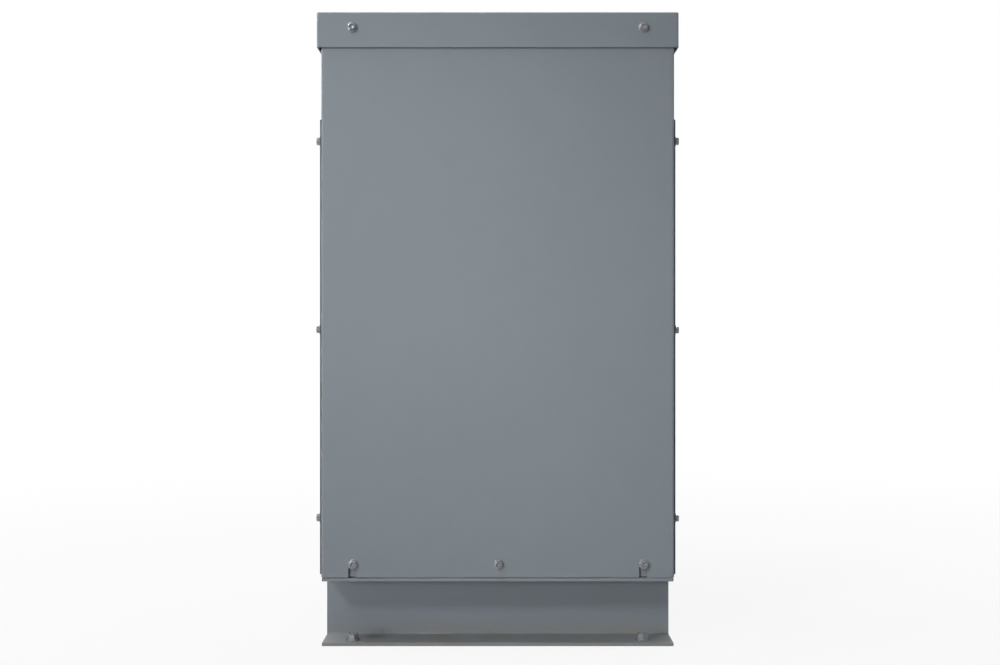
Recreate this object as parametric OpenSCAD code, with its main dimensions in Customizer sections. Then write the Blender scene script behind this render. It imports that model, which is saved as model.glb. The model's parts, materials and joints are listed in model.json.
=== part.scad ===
/* [Enclosure] */
// Width of the body across the front
body_w = 509.5; // [460:0.5:700]
// Depth of the body from the front face to the back face
body_d = 610; // [500:1:900]
// Height from the floor to the top of the lid
overall_h = 914; // [800:1:1200]
// Thickness of the enclosure sheet
sheet_t = 2; // [1.5:0.1:2.5]
// Outside radius of the vertical bends of the front and back panels
panel_bend_r = 3; // [3:0.5:6]
// How far each end panel returns along the sides
return_w = 26; // [20:1:30]
// Gap between the base rails and the bottom edge of the end panels
panel_gap = 0.8; // [0.8:0.1:5]
// Width of the slots open at the bottom edge of the end panels
slot_w = 11; // [8:0.5:14]
// Height of the end panel screws above the bottom edge of the panel
screw_rise = 19.3; // [14:0.1:24]
// Distance of the outer panel screws from the side of the body
screw_inset = 45; // [44:1:70]

/* [Base] */
// Height of the base rails
rail_h = 98; // [80:1:140]
// Width of the rail flanges
rail_flange = 60; // [54:1:90]
// Thickness of the rail plate
rail_t = 4.8; // [3:0.2:6]
// Outside radius of the rail bends
rail_bend_r = 8; // [7:0.5:12]
// How far the ends of the rails stand in from the sides of the body
rail_end_gap = 1; // [0:0.5:10]
// Diameter of the floor bolt holes
bolt_hole_d = 11; // [9:0.5:16]
// Distance of the floor bolt holes from the ends of the rails
bolt_inset = 43; // [30:1:80]
// Distance of the floor bolt holes from the outer edge of the rail flange
bolt_edge = 16; // [12:1:40]

/* [Lid] */
// Height of the skirt around the lid
lid_skirt = 51; // [35:1:70]
// Gap between the skirt and the sides of the body
lid_side_gap = 4; // [3:0.5:8]
// Gap between the skirt and the end panels
lid_end_gap = 1.5; // [1:0.5:6]
// Outside radius of the lid bends
lid_bend_r = 3; // [3:0.5:5]

/* [Side covers] */
// Thickness of a side cover
cover_t = 2.4; // [1.5:0.1:4]
// How far the cover edges stand back from the end faces
cover_setback = 5; // [3:0.5:10]
// Step from the bottom edge of the end panels up to the bottom edge of the covers
cover_step = 3.8; // [1:0.1:10]
// Height of the vent band between the covers and the lid skirt
vent_band = 102.5; // [70:0.5:150]

/* [Vents] */
// Number of louvre blades on a side
blade_count = 5; // [3:1:7]
// Thickness of a louvre blade
blade_t = 1.6; // [1:0.1:3]
// How far the blades reach into the body
blade_reach = 20; // [12:1:30]
// How far a blade rises from its outer edge to its inner edge
blade_rise = 15.5; // [4:0.5:20]
// Sheet left above and below the louvred opening
vent_margin = 9; // [5:0.5:15]
// How far the vent sheet reaches down behind the cover
vent_lap = 20; // [10:1:40]

/* [Frame] */
// Leg width of the corner posts
post_w = 32; // [30:1:42]
// Thickness of the corner posts
post_t = 2.5; // [2:0.1:4]
// Height of the sills
sill_h = 33; // [26:1:50]
// Width of the sill foot
sill_w = 22; // [15:1:28]
// Thickness of the sills
sill_t = 3; // [2:0.1:5]
// Gap between the end panels and the sills behind them
sill_setback = 2.2; // [0:0.1:6]

/* [Core and coils] */
// Free space between the coils and the side sheets
coil_side_clear = 122; // [90:1:140]
// Free space between the outer coils and the end panels
coil_end_clear = 45; // [30:1:70]
// Free space between neighbouring coils
coil_gap = 9; // [5:1:20]
// Thickness of the winding beside the core leg, across the body
coil_build_w = 72; // [60:1:76]
// Thickness of the winding beside the core leg, along the body
coil_build_d = 40; // [30:1:48]
// Gap between winding and core leg
coil_fit = 3; // [1:0.5:6]
// Outside corner radius of the windings
coil_r = 38; // [10:1:39]
// Gap between a winding and the yokes above and below it
coil_yoke_gap = 30; // [10:1:50]
// Height of the core yokes
yoke_h = 80; // [60:1:110]
// Free space between the core and the lid
core_top_clear = 172; // [120:1:260]
// Leg width of the core clamps
clamp_w = 64; // [50:1:70]
// Thickness of the core clamps
clamp_t = 6; // [4:0.5:8]
// Width of the blocks under the coils, along the body
block_d = 60; // [30:1:80]
// Height of the beams under the core
beam_h = 30; // [20:1:45]
// Width of the beams under the core
beam_w = 60; // [40:1:70]
// Thickness of the beams under the core
beam_t = 4; // [3:0.5:6]
// Height of the rubber pads under the core
pad_h = 12; // [6:1:25]
// Width of the rubber pads under the core
pad_w = 48; // [30:1:60]

/* [Hidden] */
$fn = 64;
eps = 0.5;
seam = 1;
lid_clear = 3;
block_margin = 4;
half_w = body_w / 2;
half_d = body_d / 2;
inner_half_w = half_w - sheet_t;
inner_half_d = half_d - sheet_t;
rail_half = half_w - rail_end_gap;
bolt_x = rail_half - bolt_inset;
bolt_y = half_d - bolt_edge;
lid_under = overall_h - sheet_t;
lid_w = body_w + 2 * (lid_side_gap + sheet_t);
lid_d = body_d + 2 * (lid_end_gap + sheet_t);
skirt_bottom = overall_h - lid_skirt;
panel_bottom = rail_h + panel_gap;
panel_top = lid_under - lid_clear;
slot_x = half_w - screw_inset;
slot_z = panel_bottom + screw_rise;
cover_bottom = panel_bottom + cover_step;
cover_top = skirt_bottom - vent_band;
cover_half_d = half_d - cover_setback;
post_r = max(post_t + eps, panel_bend_r - sheet_t + eps);
end_sill_half = inner_half_w - post_w - seam;
side_sill_half = inner_half_d - post_w - seam;
vent_bottom = cover_top - vent_lap;
vent_sheet_half = half_d - return_w - seam;
vent_half = inner_half_d - post_w - vent_margin;
vent_open_bottom = cover_top + vent_margin;
vent_open_h = skirt_bottom - vent_margin - vent_open_bottom;
blade_pitch = vent_open_h / blade_count;
cheek_t = sheet_t;
coil_w = 2 * (inner_half_w - coil_side_clear);
coil_d = (2 * (inner_half_d - coil_end_clear) - 2 * coil_gap) / 3;
leg_w = coil_w - 2 * (coil_build_w + coil_fit);
leg_d = coil_d - 2 * (coil_build_d + coil_fit);
leg_pitch = coil_d + coil_gap;
yoke_l = 2 * leg_pitch + leg_d;
beam_x = leg_w / 2 + clamp_w / 2;
end_sill_y = inner_half_d - sill_setback;
beam_half = end_sill_y - sill_w - seam;
pad_y = yoke_l / 2 - pad_w;
core_bottom = rail_h + beam_h + pad_h;
core_top = lid_under - core_top_clear;
window_bottom = core_bottom + yoke_h;
window_top = core_top - yoke_h;
coil_bottom = window_bottom + coil_yoke_gap;
coil_top = window_top - coil_yoke_gap;
block_w = clamp_w - clamp_t - 2 * block_margin;
block_x = leg_w / 2 + clamp_t + (clamp_w - clamp_t) / 2;
paint = [0.50, 0.53, 0.56];
steel = [0.42, 0.43, 0.45];
winding = [0.36, 0.25, 0.14];
rubber = [0.08, 0.08, 0.08];
board = [0.72, 0.62, 0.42];

// Names of the sub-parts
// Sub-part to draw, or all

// A quarter of a bend, centred on the origin, in the corner below and left of it
module bend(r, t) {
  intersection() {
    difference() {
      circle(r = r);
      circle(r = r - t);
    }
    translate([-r, -r]) square(r);
  }
}

// Bent angle: the outside corner on the origin, one leg along x and one along y
module angle_section(x_leg, y_leg, t, r) {
  translate([r, r]) bend(r, t);
  translate([r, 0]) square([x_leg - r, t]);
  translate([0, r]) square([t, y_leg - r]);
}

// Bent channel: the web along x on y = 0, the flanges along y
module channel_section(web, flange, t, r) {
  translate([-web / 2, 0]) angle_section(web / 2, flange, t, r);
  mirror([1, 0]) translate([-web / 2, 0]) angle_section(web / 2, flange, t, r);
}

// Rectangle with round corners, centred on the origin
module round_rect(x, y, r) {
  square([x - 2 * r, y], center = true);
  square([x, y - 2 * r], center = true);
  for (sx = [-1, 1]) {
    for (sy = [-1, 1]) {
      translate([sx * (x / 2 - r), sy * (y / 2 - r)]) circle(r = r);
    }
  }
}

// Draws a section, given in y and z, along x
module along_x(length) {
  rotate([90, 0, 90]) linear_extrude(height = length, center = true) children();
}

// Draws a section, given in x and z, along y
module along_y(length) {
  rotate([90, 0, 0]) linear_extrude(height = length, center = true) children();
}

module box(x, y, z) {
  translate([x[0], y[0], z[0]]) cube([x[1] - x[0], y[1] - y[0], z[1] - z[0]]);
}

module to_back() {
  mirror([0, 1, 0]) children();
}

module to_right() {
  mirror([1, 0, 0]) children();
}

module base_rail_front() {
  color(paint) difference() {
    along_x(2 * rail_half) translate([-half_d + rail_flange, rail_h / 2]) rotate(90)
      channel_section(rail_h, rail_flange, rail_t, rail_bend_r);
    for (side = [-1, 1]) {
      translate([side * bolt_x, -bolt_y, -eps]) cylinder(d = bolt_hole_d, h = rail_t + 2 * eps);
    }
  }
}

module base_rail_back() {
  to_back() base_rail_front();
}

module sill_front() {
  color(paint) along_x(2 * end_sill_half) translate([-end_sill_y, rail_h])
    angle_section(sill_w, sill_h, sill_t, sill_t + eps);
}

module sill_back() {
  to_back() sill_front();
}

module sill_left() {
  color(paint) along_y(2 * side_sill_half) translate([-inner_half_w, rail_h])
    angle_section(sill_w, sill_h, sill_t, sill_t + eps);
}

module sill_right() {
  to_right() sill_left();
}

module post_front_left() {
  color(paint) translate([-inner_half_w, -inner_half_d, rail_h])
    linear_extrude(height = lid_under - rail_h) angle_section(post_w, post_w, post_t, post_r);
}

module post_front_right() {
  to_right() post_front_left();
}

module post_back_left() {
  to_back() post_front_left();
}

module post_back_right() {
  to_back() to_right() post_front_left();
}

module front_panel() {
  color(paint) difference() {
    translate([0, -half_d, panel_bottom]) linear_extrude(height = panel_top - panel_bottom)
      channel_section(body_w, return_w, sheet_t, panel_bend_r);
    for (side = [-1, 1]) {
      translate([side * slot_x, -half_d, slot_z]) rotate([-90, 0, 0])
        translate([0, 0, -eps]) cylinder(d = slot_w, h = sheet_t + 2 * eps);
      translate([side * slot_x, -half_d, panel_bottom - eps]) box(
        [-slot_w / 2, slot_w / 2], [-eps, sheet_t + eps], [0, screw_rise + eps]);
    }
  }
}

module back_panel() {
  to_back() front_panel();
}

module left_cover() {
  color(paint) box([-half_w - cover_t, -half_w], [-cover_half_d, cover_half_d], [cover_bottom, cover_top]);
}

module right_cover() {
  to_right() left_cover();
}

module left_vent() {
  color(paint) {
    difference() {
      box([-half_w, -inner_half_w], [-vent_sheet_half, vent_sheet_half], [vent_bottom, panel_top]);
      box([-half_w - eps, -inner_half_w + eps], [-vent_half, vent_half],
        [vent_open_bottom, vent_open_bottom + vent_open_h]);
    }
    for (end = [0, 1]) {
      mirror([0, end, 0]) box([-inner_half_w, -inner_half_w + blade_reach + 2 * seam],
        [vent_half, vent_half + cheek_t],
        [vent_open_bottom - blade_t, vent_open_bottom + vent_open_h + blade_rise]);
    }
  }
}

module right_vent() {
  to_right() left_vent();
}

// Section of one blade, its outer edge on the origin and lower than its inner edge
module blade_section() {
  polygon([[0, 0], [blade_reach, blade_rise], [blade_reach, blade_rise + blade_t], [0, blade_t]]);
}

module left_louvres() {
  color(paint) for (i = [0 : blade_count - 1]) {
    translate([-inner_half_w + seam, 0, vent_open_bottom + i * blade_pitch])
      along_y(2 * vent_half) blade_section();
  }
}

module right_louvres() {
  to_right() left_louvres();
}

// Block with rounded upper edges and rounded vertical edges, its bottom on z = 0
module lid_block(x, y, z, r) {
  intersection() {
    along_x(x + eps) translate([0, z / 2 - r / 2]) round_rect(y, z + r, r);
    along_y(y + eps) translate([0, z / 2 - r / 2]) round_rect(x, z + r, r);
    linear_extrude(height = z) round_rect(x, y, r);
  }
}

module lid() {
  color(paint) translate([0, 0, skirt_bottom]) difference() {
    lid_block(lid_w, lid_d, lid_skirt, lid_bend_r);
    translate([0, 0, -eps])
      lid_block(lid_w - 2 * sheet_t, lid_d - 2 * sheet_t, lid_skirt - sheet_t + eps, lid_bend_r - sheet_t);
  }
}

module core_beam_left() {
  color(paint) along_y(2 * beam_half) translate([-beam_x, rail_h + beam_h]) mirror([0, 1])
    channel_section(beam_w, beam_h, beam_t, beam_t + eps);
}

module core_beam_right() {
  to_right() core_beam_left();
}

module isolator_pads() {
  color(rubber) for (sx = [-1, 1]) {
    for (sy = [-1, 1]) {
      translate([sx * beam_x, sy * pad_y, rail_h + beam_h]) cylinder(d = pad_w, h = pad_h);
    }
  }
}

module lower_clamp_left() {
  color(steel) along_y(yoke_l) translate([-leg_w / 2, core_bottom]) mirror([1, 0])
    angle_section(clamp_w, clamp_w, clamp_t, clamp_t + eps);
}

module lower_clamp_right() {
  to_right() lower_clamp_left();
}

module upper_clamp_left() {
  color(steel) along_y(yoke_l) translate([-leg_w / 2, core_top]) mirror([1, 0]) mirror([0, 1])
    angle_section(clamp_w, clamp_w, clamp_t, clamp_t + eps);
}

module upper_clamp_right() {
  to_right() upper_clamp_left();
}

module core_bottom_yoke() {
  color(steel) box([-leg_w / 2, leg_w / 2], [-yoke_l / 2, yoke_l / 2], [core_bottom, window_bottom]);
}

module core_top_yoke() {
  color(steel) box([-leg_w / 2, leg_w / 2], [-yoke_l / 2, yoke_l / 2], [window_top, core_top]);
}

module core_leg() {
  color(steel) box([-leg_w / 2, leg_w / 2], [-leg_d / 2, leg_d / 2], [window_bottom, window_top]);
}

module core_leg_front() {
  translate([0, -leg_pitch, 0]) core_leg();
}

module core_leg_middle() {
  core_leg();
}

module core_leg_back() {
  translate([0, leg_pitch, 0]) core_leg();
}

module coil() {
  color(winding) translate([0, 0, coil_bottom]) linear_extrude(height = coil_top - coil_bottom)
    difference() {
      round_rect(coil_w, coil_d, coil_r);
      square([leg_w + 2 * coil_fit, leg_d + 2 * coil_fit], center = true);
    }
}

module coil_front() {
  translate([0, -leg_pitch, 0]) coil();
}

module coil_middle() {
  coil();
}

module coil_back() {
  translate([0, leg_pitch, 0]) coil();
}

module coil_blocks() {
  color(board) for (side = [-1, 1]) {
    for (i = [-1, 0, 1]) {
      translate([side * block_x, i * leg_pitch, 0]) box([-block_w / 2, block_w / 2],
        [-block_d / 2, block_d / 2], [core_bottom + clamp_t, coil_bottom]);
    }
  }
}

base_rail_front();
base_rail_back();
sill_front();
sill_back();
sill_left();
sill_right();
post_front_left();
post_front_right();
post_back_left();
post_back_right();
front_panel();
back_panel();
left_cover();
right_cover();
left_vent();
right_vent();
left_louvres();
right_louvres();
lid();
core_beam_left();
core_beam_right();
isolator_pads();
lower_clamp_left();
lower_clamp_right();
upper_clamp_left();
upper_clamp_right();
core_bottom_yoke();
core_top_yoke();
core_leg_front();
core_leg_middle();
core_leg_back();
coil_front();
coil_middle();
coil_back();
coil_blocks();
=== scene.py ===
"""Looks of the enclosed dry-type transformer: finishes, fasteners, windings, light and camera."""

import json
import math
import random

import bmesh
import bpy
from mathutils import Matrix, Vector


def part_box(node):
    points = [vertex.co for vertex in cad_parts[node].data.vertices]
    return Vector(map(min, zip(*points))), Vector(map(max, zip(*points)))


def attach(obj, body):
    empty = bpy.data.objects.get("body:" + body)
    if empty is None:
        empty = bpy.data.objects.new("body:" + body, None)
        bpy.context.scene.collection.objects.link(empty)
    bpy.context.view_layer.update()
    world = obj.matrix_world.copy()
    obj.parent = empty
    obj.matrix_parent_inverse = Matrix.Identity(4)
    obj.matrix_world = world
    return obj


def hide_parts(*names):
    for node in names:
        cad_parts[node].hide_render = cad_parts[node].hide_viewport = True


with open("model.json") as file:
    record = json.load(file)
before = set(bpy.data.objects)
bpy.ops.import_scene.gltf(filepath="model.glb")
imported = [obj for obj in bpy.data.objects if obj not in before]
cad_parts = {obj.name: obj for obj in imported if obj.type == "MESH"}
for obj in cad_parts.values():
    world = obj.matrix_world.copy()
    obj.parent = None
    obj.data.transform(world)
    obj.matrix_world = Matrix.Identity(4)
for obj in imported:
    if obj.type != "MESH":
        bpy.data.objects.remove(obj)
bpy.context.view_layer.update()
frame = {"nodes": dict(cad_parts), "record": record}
chance = random.Random(20)

# Camera, in metres from the front panel, the floor and the middle plane
CAMERA_STANDOFF = 1.81
CAMERA_HEIGHT = 0.4524
CAMERA_SIDE = 0.0033
CAMERA_LENS = 45.18
CAMERA_SENSOR = 36.0

# Edge rounding of the sheets and sections, by node name or slot
SHEET_ROUND = 0.0005
ROUND_BY_NODE = {
    "left_cover": 0.0011,
    "right_cover": 0.0011,
    "base_rail_front": 0.0014,
    "base_rail_back": 0.0014,
}
ROUND_BY_SLOT = {
    "clamp_steel": 0.0008,
    "core_steel": 0.0004,
    "rubber_pad": 0.002,
    "insulating_board": 0.0015,
}
ROUND_STEPS = 3
SHARP_ANGLE = math.radians(30)
FLAT_ANGLE = math.radians(0.5)
WELD_REACH = 1e-5
NORMAL_WEIGHT = 80

# Hexagon heads, all in shares: a ring has its radius by the flats and its drop by the chamfer or dish
HEAD_CHAMFER = 0.6
HEAD_CHAMFER_RINGS = ((0.52, 0.35), (0.47, 0.0))
HEAD_DISH = 0.17
HEAD_DISH_RINGS = ((0.35, 0.0), (0.32, 0.25), (0.24, 0.8), (0.10, 1.0))
RING_STEPS = 48

# Hex washer-head screws: the seat's rings are shares of its radius and of its rim's thickness
SCREW_FLATS = 0.0097
SCREW_HEAD = 0.0058
SCREW_SEAT_RADIUS = 0.0073
SCREW_SEAT_RIM = 0.0012
SCREW_SEAT_RINGS = ((0.96, 0.0), (1.0, 0.25), (1.0, 0.7), (0.96, 1.0))
SCREW_CONE_RISE = 1.45
SCREW_CONE_REACH = 1.03

# Places of the screws on the panels, lid and covers
PANEL_SCREW_INSET = 0.045
PANEL_SCREW_RISE = 0.0193
SLOT_PLAY = 0.0012
LID_SCREW_RISE = 0.029
COVER_SCREW_INSET = 0.009
COVER_SCREW_FOOT = 0.0808
COVER_SCREW_DROP = 0.0305

# Hex bolts that hold the base down, each on two washers; the heights of the tip are from the floor
BOLT_FLATS = 0.0143
BOLT_HEAD = 0.0064
BOLT_BEARING_RADIUS = 0.0067
BOLT_SHANK_RADIUS = 0.0048
BOLT_TIP_SHARE = 0.9
BOLT_TIP_HEIGHT = 0.0006
BOLT_TIP_CHAMFER_TOP = 0.0014
WASHER_RADIUS = 0.0103
WASHER_THICK = 0.0018
WASHER_EDGE_SHARE = 0.2
LOCK_WASHER_BORE = 0.0051
LOCK_WASHER_RADIUS = 0.0084
LOCK_WASHER_THICK = 0.0024
LOCK_WASHER_SPLIT = 0.12
BOLT_INSET = 0.043
BOLT_EDGE = 0.016
RAIL_THICK = 0.0048

# Windings: the share of the build that each layer takes, with a cooling duct between layers
LEG_FIT = 0.003
WINDING_LAYERS = ((0.0, 0.26), (0.37, 0.62), (0.73, 1.0))
WINDING_CORNER = 0.038
WINDING_LIP = 0.004
WINDING_LIP_SHARE = 0.045
WINDING_JOIN_REACH = 1e-6
CORNER_STEPS = 8

# Duct sticks between the layers: their places are shares of the duct's half width and half depth
STICK_WIDTH = 0.010
STICK_CUT_SHARE = 0.25
STICKS_ACROSS = (-0.5, 0.0, 0.5)
STICKS_ALONG = (-0.35, 0.35)

# Colours of the finishes, in linear light; a pair is mixed by a noise or by bands
PAINT_COLOURS = ((0.205, 0.231, 0.255), (0.222, 0.250, 0.276))
DUST_COLOUR = (0.240, 0.238, 0.229)
STAIN_COLOUR = (0.085, 0.085, 0.083)
# Painted shade: the dark colour laid along the covers' cut edges for the shadow in the seam
SEAM_SHADE_COLOUR = (0.055, 0.059, 0.063)
ZINC_COLOURS = ((0.16, 0.172, 0.184), (0.28, 0.297, 0.314))
PRIMER_COLOURS = ((0.036, 0.039, 0.045), (0.060, 0.063, 0.070))
STEEL_COLOURS = ((0.052, 0.046, 0.040), (0.105, 0.096, 0.086))
STEEL_PACK_COLOUR = (0.040, 0.034, 0.028)
STEEL_VARNISH_COLOUR = (0.060, 0.040, 0.024)
PAPER_COLOURS = ((0.085, 0.044, 0.017), (0.135, 0.074, 0.030))
PAPER_VARNISH_COLOUR = (0.050, 0.022, 0.008)
RUBBER_COLOURS = ((0.006, 0.006, 0.006), (0.018, 0.018, 0.017))
BOARD_COLOURS = ((0.36, 0.24, 0.105), (0.50, 0.36, 0.17))
BOARD_STAIN_COLOUR = (0.20, 0.11, 0.04)

# Ranges of a noise that a finish uses: nearly all of it, or its steep middle
NOISE_WIDE = (0.3, 0.7)
NOISE_MIDDLE = (0.35, 0.65)

# Dust on the base: how much, its thinnest share, the heights where it is full and ends, and what it dulls
BASE_SOIL = 0.9
DUST_THINNEST = 0.35
DUST_HEIGHTS = (0.007, 0.030)
DUST_ROUGHNESS = 0.25

# Oily stains on the base, by their middles, and how far each one reaches
STAINS = ((-0.178, -0.257, 0.007), (0.167, 0.260, 0.006))
STAIN_REACH = (0.026, 0.030, 0.011)

# Painted shade in the seam along the cut edges of the side covers, by its reach from the edge
SEAM_SHADE_FADE = 0.0020
SEAM_SHADE_FULL = 0.0012

# Light: the level is what a white sheet facing the lamp would show, 1 being full white
WHITE = (1.0, 1.0, 1.0, 1.0)
AMBIENT_LEVEL = 0.12
FULL_SPREAD = 180.0
AIM_SIDE = 0.03
KEY_AIM_HEIGHT = 0.52
FRONT_AIM_HEIGHT = 0.46
RIGHT_AIM_HEIGHT = 0.58

# Floor: its tone, and the distances between which it runs out to white
FLOOR_TONE = 0.45
FLOOR_SIZE = 14.0
FLOOR_SHADE = (0.5, 2.2)
FLOOR_GLOW = 0.90


class Shader:
    """One node material, with short calls for the nodes that make up its finish."""

    def __init__(self, name, shift=(0.0, 0.0, 0.0)):
        self.material = bpy.data.materials.new(name)
        self.material.use_nodes = True
        self.nodes = self.material.node_tree.nodes
        self.links = self.material.node_tree.links
        self.surface = self.nodes["Principled BSDF"]
        coordinates = self.nodes.new("ShaderNodeTexCoord")
        self.place = coordinates.outputs["Object"]
        self.shifted = self.stretch((1.0, 1.0, 1.0), shift)

    def feed(self, socket, value):
        """Links an output to a socket, or writes a constant to it."""
        if isinstance(value, bpy.types.NodeSocket):
            self.links.new(value, socket)
        else:
            socket.default_value = value

    def stretch(self, scale, shift=(0.0, 0.0, 0.0)):
        """The place on the object, scaled and then moved."""
        node = self.nodes.new("ShaderNodeMapping")
        self.links.new(self.place, node.inputs["Vector"])
        node.inputs["Location"].default_value = shift
        node.inputs["Scale"].default_value = scale
        return node.outputs["Vector"]

    def along(self, axis):
        """The place along one axis."""
        node = self.nodes.new("ShaderNodeSeparateXYZ")
        self.links.new(self.place, node.inputs["Vector"])
        return node.outputs[axis]

    def length(self, vector):
        """The length of a vector."""
        node = self.nodes.new("ShaderNodeVectorMath")
        node.operation = "LENGTH"
        self.links.new(vector, node.inputs[0])
        return node.outputs["Value"]

    def noise(self, scale, detail=2.0, roughness=0.5, place=None):
        """A noise with a number of features a metre."""
        node = self.nodes.new("ShaderNodeTexNoise")
        self.links.new(place or self.shifted, node.inputs["Vector"])
        node.inputs["Scale"].default_value = scale
        node.inputs["Detail"].default_value = detail
        node.inputs["Roughness"].default_value = roughness
        return node.outputs["Fac"]

    def bands(self, axis, scale, distortion):
        """Bands across an axis, a little wavy."""
        node = self.nodes.new("ShaderNodeTexWave")
        node.bands_direction = axis
        self.links.new(self.place, node.inputs["Vector"])
        node.inputs["Scale"].default_value = scale
        node.inputs["Distortion"].default_value = distortion
        node.inputs["Detail"].default_value = 2.0
        return node.outputs["Fac"]

    def combine(self, operation, first, second=0.0):
        """One or two values put through a math operation."""
        node = self.nodes.new("ShaderNodeMath")
        node.operation = operation
        self.feed(node.inputs[0], first)
        self.feed(node.inputs[1], second)
        return node.outputs[0]

    def span(self, value, between, to):
        """A value, clamped to one range and mapped to another."""
        node = self.nodes.new("ShaderNodeMapRange")
        self.feed(node.inputs["Value"], value)
        node.inputs["From Min"].default_value, node.inputs["From Max"].default_value = between
        node.inputs["To Min"].default_value, node.inputs["To Max"].default_value = to
        return node.outputs["Result"]

    def spot(self, centre, reach, core=0.25):
        """Fades from 1 in a spot's core, a share of its reach along each axis, to 0 at its reach."""
        scale = tuple(1.0 / length for length in reach)
        shift = tuple(-along / length for along, length in zip(centre, reach))
        return self.span(self.length(self.stretch(scale, shift)), (core, 1.0), (1.0, 0.0))

    def blend(self, factor, first, second):
        """A mix of two colours, each a constant or an output."""
        node = self.nodes.new("ShaderNodeMix")
        node.data_type = "RGBA"
        self.feed(node.inputs["Factor"], factor)
        for socket, colour in zip((node.inputs[6], node.inputs[7]), (first, second)):
            opaque = colour if isinstance(colour, bpy.types.NodeSocket) else (*colour, 1.0)
            self.feed(socket, opaque)
        return node.outputs[2]

    def bump(self, height, strength, distance, under=None):
        """A bumped normal, on top of another one where it is given."""
        node = self.nodes.new("ShaderNodeBump")
        node.inputs["Strength"].default_value = strength
        node.inputs["Distance"].default_value = distance
        self.links.new(height, node.inputs["Height"])
        if under:
            self.links.new(under, node.inputs["Normal"])
        return node.outputs["Normal"]

    def finish(self, **sockets):
        """Sets the surface's sockets, named with _ for a space, and returns the material."""
        for name, value in sockets.items():
            self.feed(self.surface.inputs[name.replace("_", " ")], value)
        return self.material


def enclosure_paint(name, shift, soil=0.0, stains=(), cut_edge=None):
    """Satin blue-grey powder coat with orange peel, dust near the floor, stains, and painted shade on cut
    edges for the seam's shadow.
    """
    shader = Shader(name, shift)
    cloud = shader.noise(2.1, detail=2.0)
    mottle = shader.noise(24.0, detail=5.0, roughness=0.62)
    speck = shader.noise(380.0, detail=1.0)
    peel = shader.noise(720.0, detail=1.0)
    tone = shader.span(cloud, NOISE_WIDE, (0.0, 0.5))
    tone = shader.combine("ADD", tone, shader.span(mottle, NOISE_WIDE, (0.0, 0.4)))
    tone = shader.combine("ADD", tone, shader.span(speck, NOISE_WIDE, (0.0, 0.1)))
    colour = shader.blend(tone, *PAINT_COLOURS)
    low_down = shader.span(shader.along("Z"), DUST_HEIGHTS, (1.0, 0.0))
    patches = shader.span(mottle, NOISE_MIDDLE, (DUST_THINNEST * soil, soil))
    dust = shader.combine("MULTIPLY", low_down, patches)
    colour = shader.blend(dust, colour, DUST_COLOUR)
    for centre in stains:
        patches = shader.span(mottle, (0.35, 0.62), (0.1, 0.8))
        stain = shader.combine("MULTIPLY", shader.spot(centre, STAIN_REACH), patches)
        colour = shader.blend(stain, colour, STAIN_COLOUR)
    # Painted shade: a dark band along the cut edges stands for the shadow in the seam between cover and
    # panel
    if cut_edge is not None:
        out = shader.combine("ABSOLUTE", shader.along("Y"))
        seam_shade = shader.span(out, (cut_edge - SEAM_SHADE_FADE, cut_edge - SEAM_SHADE_FULL), (0.0, 1.0))
        patches = shader.span(mottle, NOISE_MIDDLE, (0.75, 1.0))
        colour = shader.blend(shader.combine("MULTIPLY", seam_shade, patches), colour, SEAM_SHADE_COLOUR)
    satin = shader.span(mottle, NOISE_WIDE, (0.56, 0.64))
    dents = shader.bump(cloud, strength=0.35, distance=0.0015)
    return shader.finish(
        Base_Color=colour,
        Roughness=shader.combine("ADD", satin, shader.combine("MULTIPLY", dust, DUST_ROUGHNESS)),
        Specular_IOR_Level=0.15,
        Normal=shader.bump(peel, strength=0.16, distance=0.0001, under=dents),
    )


def zinc_plate():
    """Zinc plating on the fasteners, dulled by its film, with the blotches that the bath leaves."""
    shader = Shader("zinc_plate")
    blotch = shader.noise(420.0, detail=4.0, roughness=0.6)
    grain = shader.noise(2600.0, detail=2.0)
    return shader.finish(
        Base_Color=shader.blend(shader.span(blotch, NOISE_MIDDLE, (0.0, 1.0)), *ZINC_COLOURS),
        Metallic=0.25,
        Specular_IOR_Level=0.3,
        Roughness=shader.span(blotch, NOISE_WIDE, (0.28, 0.16)),
        Normal=shader.bump(grain, strength=0.12, distance=0.0001),
    )


def clamp_primer():
    """Matt dark primer on the core clamps, brushed thin in places."""
    shader = Shader("clamp_primer")
    drag = shader.noise(30.0, detail=4.0, place=shader.stretch((1.0, 0.12, 1.0)))
    patch = shader.noise(9.0, detail=5.0, roughness=0.65)
    return shader.finish(
        Base_Color=shader.blend(shader.span(patch, (0.35, 0.7), (0.0, 1.0)), *PRIMER_COLOURS),
        Roughness=shader.span(drag, NOISE_WIDE, (0.62, 0.78)),
        Specular_IOR_Level=0.3,
        Normal=shader.bump(drag, strength=0.25, distance=0.0004),
    )


def core_laminations():
    """Stacked electrical steel seen on edge, under a thin brown varnish."""
    shader = Shader("core_laminations")
    sheets = shader.bands("X", 95.0, distortion=0.6)
    packs = shader.bands("X", 14.0, distortion=1.5)
    stain = shader.noise(16.0, detail=5.0, roughness=0.6)
    steel = shader.blend(sheets, *STEEL_COLOURS)
    steel = shader.blend(shader.span(packs, (0.0, 1.0), (0.0, 0.3)), steel, STEEL_PACK_COLOUR)
    varnish = shader.span(stain, (0.45, 0.7), (0.0, 0.5))
    return shader.finish(
        Base_Color=shader.blend(varnish, steel, STEEL_VARNISH_COLOUR),
        Metallic=0.35,
        Roughness=shader.span(stain, NOISE_WIDE, (0.42, 0.60)),
        Normal=shader.bump(sheets, strength=0.4, distance=0.0004),
    )


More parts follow.
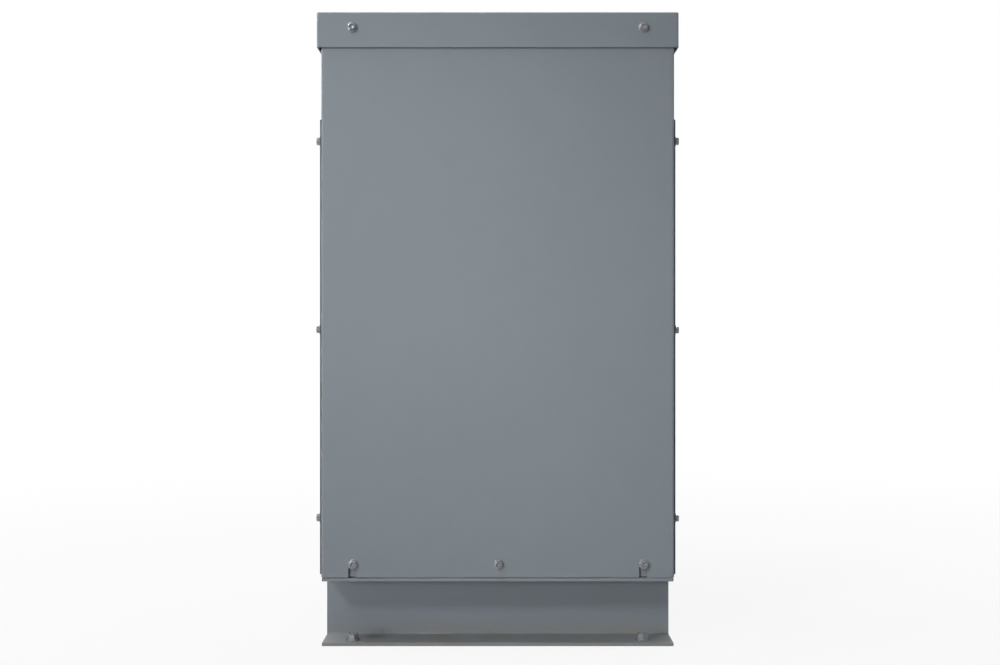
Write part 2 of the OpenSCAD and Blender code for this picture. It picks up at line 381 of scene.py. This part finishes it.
def varnished_wrap():
    """Brown varnished insulation wound round the coils in overlapping turns."""
    shader = Shader("varnished_wrap")
    turns = shader.bands("Z", 16.0, distortion=0.8)
    fibre = shader.noise(60.0, detail=4.0, place=shader.stretch((1.0, 1.0, 6.0)))
    pool = shader.noise(11.0, detail=4.0, roughness=0.6)
    paper = shader.blend(fibre, *PAPER_COLOURS)
    varnish = shader.span(pool, (0.42, 0.7), (0.0, 0.65))
    folds = shader.bump(turns, strength=0.5, distance=0.0012)
    return shader.finish(
        Base_Color=shader.blend(varnish, paper, PAPER_VARNISH_COLOUR),
        Roughness=shader.span(pool, NOISE_MIDDLE, (0.48, 0.26)),
        Normal=shader.bump(fibre, strength=0.2, distance=0.0005, under=folds),
    )


def moulded_rubber():
    """Black isolating rubber with a dusty bloom."""
    shader = Shader("moulded_rubber")
    bloom = shader.noise(45.0, detail=5.0, roughness=0.65)
    grain = shader.noise(900.0, detail=1.0)
    return shader.finish(
        Base_Color=shader.blend(shader.span(bloom, (0.4, 0.7), (0.0, 1.0)), *RUBBER_COLOURS),
        Roughness=shader.span(bloom, NOISE_WIDE, (0.68, 0.86)),
        Normal=shader.bump(grain, strength=0.2, distance=0.0002),
    )


def pressed_board():
    """Tan pressed insulating board, with fibres along its length."""
    shader = Shader("pressed_board")
    fibre = shader.noise(90.0, detail=5.0, place=shader.stretch((1.0, 1.0, 0.15)))
    stain = shader.noise(14.0, detail=3.0)
    board = shader.blend(shader.span(fibre, NOISE_WIDE, (0.0, 1.0)), *BOARD_COLOURS)
    return shader.finish(
        Base_Color=shader.blend(shader.span(stain, (0.5, 0.75), (0.0, 0.6)), board, BOARD_STAIN_COLOUR),
        Roughness=shader.span(fibre, NOISE_WIDE, (0.66, 0.80)),
        Specular_IOR_Level=0.3,
        Normal=shader.bump(fibre, strength=0.2, distance=0.0003),
    )


def round_edges(piece, width):
    """Rounds a piece's edges, so that they catch light as folded and deburred metal does."""
    weld = piece.modifiers.new("weld", "WELD")
    weld.merge_threshold = WELD_REACH
    flatten = piece.modifiers.new("flatten", "DECIMATE")
    flatten.decimate_type = "DISSOLVE"
    flatten.angle_limit = FLAT_ANGLE
    bevel = piece.modifiers.new("bevel", "BEVEL")
    bevel.width = width
    bevel.segments = ROUND_STEPS
    bevel.limit_method = "ANGLE"
    bevel.angle_limit = SHARP_ANGLE
    bevel.miter_outer = "MITER_ARC"
    normals = piece.modifiers.new("normals", "WEIGHTED_NORMAL")
    normals.weight = NORMAL_WEIGHT
    normals.keep_sharp = False


def dress_frame(finishes, paints):
    """Gives every node of the frame its rounded edges and its finish."""
    for part in frame["record"]["subparts"]:
        node, slot = part["node"], part["material_slot"]
        piece = frame["nodes"][node]
        width = ROUND_BY_NODE.get(node, ROUND_BY_SLOT.get(slot, SHEET_ROUND))
        round_edges(piece, width)
        group = next(key for key in paints if node.startswith(key) or node.endswith(key))
        finish = paints[group] if slot == "enclosure_paint" else finishes[slot]
        piece.data.materials.clear()
        piece.data.materials.append(finish)


def hexagon_reach(angle, flats):
    """Distance from the axis to the side of a hexagon, at an angle from one of its corners."""
    sixth = math.pi / 3
    return flats / 2 / math.cos(angle % sixth - sixth / 2)


def ring(radius, rise, flats=None):
    """Points round the axis: a circle, cut by a hexagon's sides where flats is given."""
    points = []
    for step in range(RING_STEPS):
        angle = 2 * math.pi * step / RING_STEPS
        reach = min(radius, hexagon_reach(angle, flats)) if flats else radius
        points.append(Vector((reach * math.cos(angle), reach * math.sin(angle), rise)))
    return points


def skin(shape, rings, place, capped=True):
    """Adds faces between rings that have equal counts of points, and closes both ends where asked."""
    rows = [[shape.verts.new(place @ point) for point in points] for points in rings]
    for low, high in zip(rows, rows[1:]):
        for index in range(len(low)):
            after = (index + 1) % len(low)
            shape.faces.new((low[index], low[after], high[after], high[index]))
    if capped:
        shape.faces.new(list(reversed(rows[0])))
        shape.faces.new(rows[-1])


def hexagon_head(flats, foot, top):
    """Rings of a chamfered hexagon head with a shallow dish in its top."""
    corner = flats / math.sqrt(3)
    chamfer = (corner - flats / 2) * HEAD_CHAMFER
    dish = flats * HEAD_DISH
    rings = [ring(corner, foot, flats), ring(corner, top - chamfer, flats)]
    rings += [ring(flats * reach, top - chamfer * drop, flats) for reach, drop in HEAD_CHAMFER_RINGS]
    rings += [ring(flats * reach, top - dish * drop) for reach, drop in HEAD_DISH_RINGS]
    return rings


def washer_screw(shape, place):
    """A hex washer-head screw: a coned seat in one piece with the head."""
    corner = SCREW_FLATS / math.sqrt(3)
    foot = SCREW_SEAT_RIM * SCREW_CONE_RISE
    rings = [ring(SCREW_SEAT_RADIUS * reach, SCREW_SEAT_RIM * rise) for reach, rise in SCREW_SEAT_RINGS]
    rings.append(ring(corner * SCREW_CONE_REACH, foot))
    skin(shape, rings + hexagon_head(SCREW_FLATS, foot, SCREW_HEAD), place)


def lock_washer(shape, place, foot, top):
    """A spring washer: a square-edged ring, split at one place."""
    section = (
        (LOCK_WASHER_BORE, foot),
        (LOCK_WASHER_RADIUS, foot),
        (LOCK_WASHER_RADIUS, top),
        (LOCK_WASHER_BORE, top),
    )
    rings = []
    for step in range(RING_STEPS + 1):
        angle = LOCK_WASHER_SPLIT + (2 * math.pi - LOCK_WASHER_SPLIT) * step / RING_STEPS
        across, out = math.cos(angle), math.sin(angle)
        rings.append([Vector((reach * across, reach * out, z)) for reach, z in section])
    skin(shape, rings, place)


def base_bolt(shape, place):
    """A hex bolt on a lock washer and a flat washer, with its shank in the hole below."""
    edge = WASHER_THICK * WASHER_EDGE_SHARE
    washer = [
        ring(WASHER_RADIUS - edge, 0.0),
        ring(WASHER_RADIUS, edge),
        ring(WASHER_RADIUS, WASHER_THICK - edge),
        ring(WASHER_RADIUS - edge, WASHER_THICK),
    ]
    skin(shape, washer, place)
    head_foot = WASHER_THICK + LOCK_WASHER_THICK
    lock_washer(shape, place, WASHER_THICK, head_foot)
    bearing = ring(BOLT_BEARING_RADIUS, head_foot)
    head = hexagon_head(BOLT_FLATS, head_foot, head_foot + BOLT_HEAD)
    skin(shape, [bearing, *head], place)
    shank = [
        ring(BOLT_SHANK_RADIUS * BOLT_TIP_SHARE, BOLT_TIP_HEIGHT - RAIL_THICK),
        ring(BOLT_SHANK_RADIUS, BOLT_TIP_CHAMFER_TOP - RAIL_THICK),
        ring(BOLT_SHANK_RADIUS, 0.0),
    ]
    skin(shape, shank, place)


def facing(direction, point):
    """Turns the axis of a fastener from +Z to a direction, at a point, with a turn of its own."""
    turn = Vector(direction).to_track_quat("Z", "Y").to_matrix().to_4x4()
    spin = Matrix.Rotation(chance.uniform(0.0, math.pi / 3), 4, "Z")
    return Matrix.Translation(point) @ turn @ spin


def add_piece(name, shape, finish):
    """An object of a built shape, smooth but for its sharp edges, that rides with the transformer."""
    bmesh.ops.recalc_face_normals(shape, faces=shape.faces)
    mesh = bpy.data.meshes.new(name)
    shape.to_mesh(mesh)
    shape.free()
    mesh.shade_smooth()
    mesh.set_sharp_from_angle(angle=SHARP_ANGLE)
    mesh.materials.append(finish)
    piece = bpy.data.objects.new(name, mesh)
    bpy.context.scene.collection.objects.link(piece)
    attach(piece, "root")
    return piece


def fasten(name, finish, make, direction, points):
    """One piece of like fasteners that face the same way."""
    shape = bmesh.new()
    for point in points:
        make(shape, facing(direction, point))
    add_piece(name, shape, finish)


def add_end_screws(finish):
    """Screws along the foot of both end panels and in the ends of the lid."""
    lid_low, lid_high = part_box("lid")
    for end, side in (("front", -1), ("back", 1)):
        low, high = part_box(f"{end}_panel")
        face = low.y if side < 0 else high.y
        lid_face = lid_low.y if side < 0 else lid_high.y
        spots = (low.x + PANEL_SCREW_INSET, 0.0, high.x - PANEL_SCREW_INSET)
        foot = [Vector((x + SLOT_PLAY, face, low.z + PANEL_SCREW_RISE)) for x in spots]
        brow = [Vector((x, lid_face, lid_low.z + LID_SCREW_RISE)) for x in (spots[0], spots[2])]
        fasten(f"{end}_panel_screws", finish, washer_screw, (0, side, 0), foot)
        fasten(f"{end}_lid_screws", finish, washer_screw, (0, side, 0), brow)


def add_cover_screws(finish):
    """Screws down both upright edges of the side covers."""
    for name, side in (("left", -1), ("right", 1)):
        low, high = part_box(f"{name}_cover")
        face = low.x if side < 0 else high.x
        bottom, top = low.z + COVER_SCREW_FOOT, high.z - COVER_SCREW_DROP
        rows = (bottom, (bottom + top) / 2, top)
        edges = (low.y + COVER_SCREW_INSET, high.y - COVER_SCREW_INSET)
        points = [Vector((face, y, z)) for y in edges for z in rows]
        fasten(f"{name}_cover_screws", finish, washer_screw, (side, 0, 0), points)


def add_base_bolts(finish):
    """Hold-down bolts on the bottom flanges of both base rails."""
    for end, side in (("front", -1), ("back", 1)):
        low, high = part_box(f"base_rail_{end}")
        y = low.y + BOLT_EDGE if side < 0 else high.y - BOLT_EDGE
        spots = (low.x + BOLT_INSET, high.x - BOLT_INSET)
        points = [Vector((x, y, low.z + RAIL_THICK)) for x in spots]
        fasten(f"base_bolts_{end}", finish, base_bolt, (0, 0, 1), points)


def rounded_loop(half_x, half_y, radius):
    """Points round a rectangle with rounded corners, starting on its +X side."""
    points = []
    for quarter, (x, y) in enumerate(((1, 1), (-1, 1), (-1, -1), (1, -1))):
        for step in range(CORNER_STEPS + 1):
            angle = math.pi / 2 * (quarter + step / CORNER_STEPS)
            points.append((
                x * (half_x - radius) + radius * math.cos(angle),
                y * (half_y - radius) + radius * math.sin(angle),
            ))
    return points


def add_stick(shape, spot, width, depth, bottom, top):
    """An upright duct stick with chamfered corners."""
    cut = min(width, depth) * STICK_CUT_SHARE
    x, y = width / 2, depth / 2
    outline = (
        (x, y - cut), (x - cut, y), (cut - x, y), (-x, y - cut),
        (-x, cut - y), (cut - x, -y), (x - cut, -y), (x, cut - y),
    )
    rings = [[spot + Vector((px, py, z)) for px, py in outline] for z in (bottom, top)]
    skin(shape, rings, Matrix.Identity(4))


def add_winding(place, wrap, board):
    """A coil of three wound layers with ducts between them, held apart by upright sticks."""
    low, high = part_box(f"coil_{place}")
    leg_low, leg_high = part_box(f"core_leg_{place}")
    middle = (low + high) / 2
    inner = Vector(((leg_high.x - leg_low.x) / 2 + LEG_FIT, (leg_high.y - leg_low.y) / 2 + LEG_FIT))
    outer = Vector(((high.x - low.x) / 2, (high.y - low.y) / 2))

    def loop(share, z):
        half = inner.lerp(outer, share)
        radius = WINDING_LIP + (WINDING_CORNER - WINDING_LIP) * share
        return [Vector((middle.x + x, middle.y + y, z)) for x, y in rounded_loop(half.x, half.y, radius)]

    layers = bmesh.new()
    for share_in, share_out in WINDING_LAYERS:
        lip_in, lip_out = share_in + WINDING_LIP_SHARE, share_out - WINDING_LIP_SHARE
        profile = [
            (lip_in, low.z), (lip_out, low.z),
            (share_out, low.z + WINDING_LIP), (share_out, high.z - WINDING_LIP),
            (lip_out, high.z), (lip_in, high.z),
            (share_in, high.z - WINDING_LIP), (share_in, low.z + WINDING_LIP),
        ]
        profile.append(profile[0])
        skin(layers, [loop(share, z) for share, z in profile], Matrix.Identity(4), capped=False)
    bmesh.ops.remove_doubles(layers, verts=layers.verts, dist=WINDING_JOIN_REACH)
    coil = add_piece(f"winding_{place}", layers, wrap)
    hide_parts(f"coil_{place}")

    sticks = bmesh.new()
    for (_, duct_in), (duct_out, _) in zip(WINDING_LAYERS, WINDING_LAYERS[1:]):
        half = inner.lerp(outer, (duct_in + duct_out) / 2)
        depth = (outer - inner) * (duct_out - duct_in)
        for side in (-1, 1):
            for x in STICKS_ACROSS:
                spot = Vector((middle.x + x * half.x, middle.y + side * half.y, 0.0))
                add_stick(sticks, spot, STICK_WIDTH, depth.y, low.z, high.z)
            for y in STICKS_ALONG:
                spot = Vector((middle.x + side * half.x, middle.y + y * half.y, 0.0))
                add_stick(sticks, spot, depth.x, STICK_WIDTH, low.z, high.z)
    add_piece(f"duct_sticks_{place}", sticks, board)


def seen_directly(nodes, links):
    """An output that is 1 for rays that show the background: to the eye, off gloss or through glass."""
    path = nodes.new("ShaderNodeLightPath")
    seen = path.outputs["Is Camera Ray"]
    for kind in ("Is Glossy Ray", "Is Transmission Ray"):
        either = nodes.new("ShaderNodeMath")
        either.operation = "MAXIMUM"
        links.new(seen, either.inputs[0])
        links.new(path.outputs[kind], either.inputs[1])
        seen = either.outputs[0]
    return seen


def set_world():
    """A white background to the eye, and an even soft light on the object."""
    world = bpy.data.worlds.new("studio")
    bpy.context.scene.world = world
    world.use_nodes = True
    nodes, links = world.node_tree.nodes, world.node_tree.links
    light = nodes["Background"]
    light.inputs["Color"].default_value = WHITE
    light.inputs["Strength"].default_value = AMBIENT_LEVEL
    white = nodes.new("ShaderNodeBackground")
    white.inputs["Color"].default_value = WHITE
    white.inputs["Strength"].default_value = 1.0
    choose = nodes.new("ShaderNodeMixShader")
    links.new(seen_directly(nodes, links), choose.inputs["Fac"])
    links.new(light.outputs[0], choose.inputs[1])
    links.new(white.outputs[0], choose.inputs[2])
    links.new(choose.outputs[0], nodes["World Output"].inputs["Surface"])


def add_floor():
    """A pale floor that keeps the object's shadow and runs out to white."""
    shader = Shader("pale_floor")
    nodes, links = shader.nodes, shader.links
    glow = shader.span(shader.length(shader.place), FLOOR_SHADE, (FLOOR_GLOW, 1.0))
    glow = shader.combine("MULTIPLY", glow, seen_directly(nodes, links))
    white = nodes.new("ShaderNodeEmission")
    choose = nodes.new("ShaderNodeMixShader")
    links.new(glow, choose.inputs["Fac"])
    links.new(shader.surface.outputs[0], choose.inputs[1])
    links.new(white.outputs[0], choose.inputs[2])
    links.new(choose.outputs[0], nodes["Material Output"].inputs["Surface"])
    shader.finish(
        Base_Color=(FLOOR_TONE, FLOOR_TONE, FLOOR_TONE, 1.0),
        Roughness=0.9,
        Specular_IOR_Level=0.1,
    )
    shape = bmesh.new()
    bmesh.ops.create_grid(shape, x_segments=8, y_segments=8, size=FLOOR_SIZE / 2)
    mesh = bpy.data.meshes.new("floor")
    shape.to_mesh(mesh)
    shape.free()
    mesh.materials.append(shader.material)
    floor = bpy.data.objects.new("floor", mesh)
    bpy.context.scene.collection.objects.link(floor)


def add_softbox(name, aim, azimuth, elevation, distance, size, level, spread=FULL_SPREAD):
    """A square lamp aimed at a point, in degrees from the front (90 is the right) and from level."""
    half_spread = math.radians(spread / 2)
    narrowing = 1.0
    if spread < FULL_SPREAD:
        narrowing = math.tan(half_spread) / (math.tan(half_spread) - half_spread)
    turn, tilt = math.radians(azimuth), math.radians(elevation)
    away = Vector((math.sin(turn) * math.cos(tilt), -math.cos(turn) * math.cos(tilt), math.sin(tilt)))
    lamp = bpy.data.lights.new(name, "AREA")
    lamp.shape = "SQUARE"
    lamp.size = size
    lamp.spread = 2 * half_spread
    lamp.energy = level * (math.pi * distance) ** 2 / narrowing
    box = bpy.data.objects.new(name, lamp)
    box.location = aim + away * distance
    box.rotation_euler = away.to_track_quat("Z", "Y").to_euler()
    bpy.context.scene.collection.objects.link(box)


def add_lights():
    """Soft lamps: three on the front from the left, and others for the top, the right and the back."""
    low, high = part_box("front_panel")
    upper = Vector((AIM_SIDE, low.y, KEY_AIM_HEIGHT))
    middle = Vector((AIM_SIDE, low.y, FRONT_AIM_HEIGHT))
    right = Vector((high.x, 0.0, RIGHT_AIM_HEIGHT))
    centre = Vector((0.0, 0.0, (low.z + high.z) / 2))
    add_softbox("key", upper, -38.0, 31.0, distance=2.8, size=0.6, level=0.78, spread=34.0)
    add_softbox("front", middle, -34.0, 4.0, distance=3.2, size=0.5, level=0.47, spread=60.0)
    add_softbox("left", middle, -58.0, 6.0, distance=3.0, size=0.6, level=0.09, spread=50.0)
    add_softbox("top_left", centre, -80.0, 55.0, distance=3.0, size=1.3, level=0.65)
    add_softbox("right", right, 120.0, 6.0, distance=3.2, size=0.8, level=1.0, spread=34.0)
    add_softbox("back_right", centre, 165.0, 28.0, distance=3.0, size=1.5, level=0.5)
    add_softbox("back_left", centre, -150.0, 25.0, distance=3.0, size=1.5, level=0.45)


def add_camera():
    """The photograph's view: level, square to the front panel."""
    low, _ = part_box("front_panel")
    lens = bpy.data.cameras.new("camera")
    lens.lens = CAMERA_LENS
    lens.sensor_width = CAMERA_SENSOR
    lens.sensor_fit = "HORIZONTAL"
    camera = bpy.data.objects.new("camera", lens)
    camera.location = (CAMERA_SIDE, low.y - CAMERA_STANDOFF, CAMERA_HEIGHT)
    camera.rotation_euler = (math.pi / 2, 0.0, 0.0)
    bpy.context.scene.collection.objects.link(camera)
    bpy.context.scene.camera = camera


def build():
    """Dresses the frame, then adds the pieces, the light and the camera."""
    cover_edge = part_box("left_cover")[1].y
    # Paint by the start or end of a node's name; the last one takes all other painted nodes
    paints = {
        "base_rail": enclosure_paint("base_paint", (3.1, 0.4, 1.7), soil=BASE_SOIL, stains=STAINS),
        "panel": enclosure_paint("panel_paint", (0.0, 0.0, 0.0)),
        "lid": enclosure_paint("lid_paint", (5.3, 2.2, 0.6)),
        "cover": enclosure_paint("cover_paint", (1.9, 4.4, 2.8), cut_edge=cover_edge),
        "": enclosure_paint("frame_paint", (7.7, 1.2, 3.5)),
    }
    finishes = {
        "fastener": zinc_plate(),
        "clamp_steel": clamp_primer(),
        "core_steel": core_laminations(),
        "winding": varnished_wrap(),
        "rubber_pad": moulded_rubber(),
        "insulating_board": pressed_board(),
    }
    dress_frame(finishes, paints)
    add_end_screws(finishes["fastener"])
    add_cover_screws(finishes["fastener"])
    add_base_bolts(finishes["fastener"])
    for place in ("front", "middle", "back"):
        add_winding(place, finishes["winding"], finishes["insulating_board"])
    set_world()
    add_floor()
    add_lights()
    add_camera()
    bpy.context.scene.view_settings.view_transform = "Standard"


build()
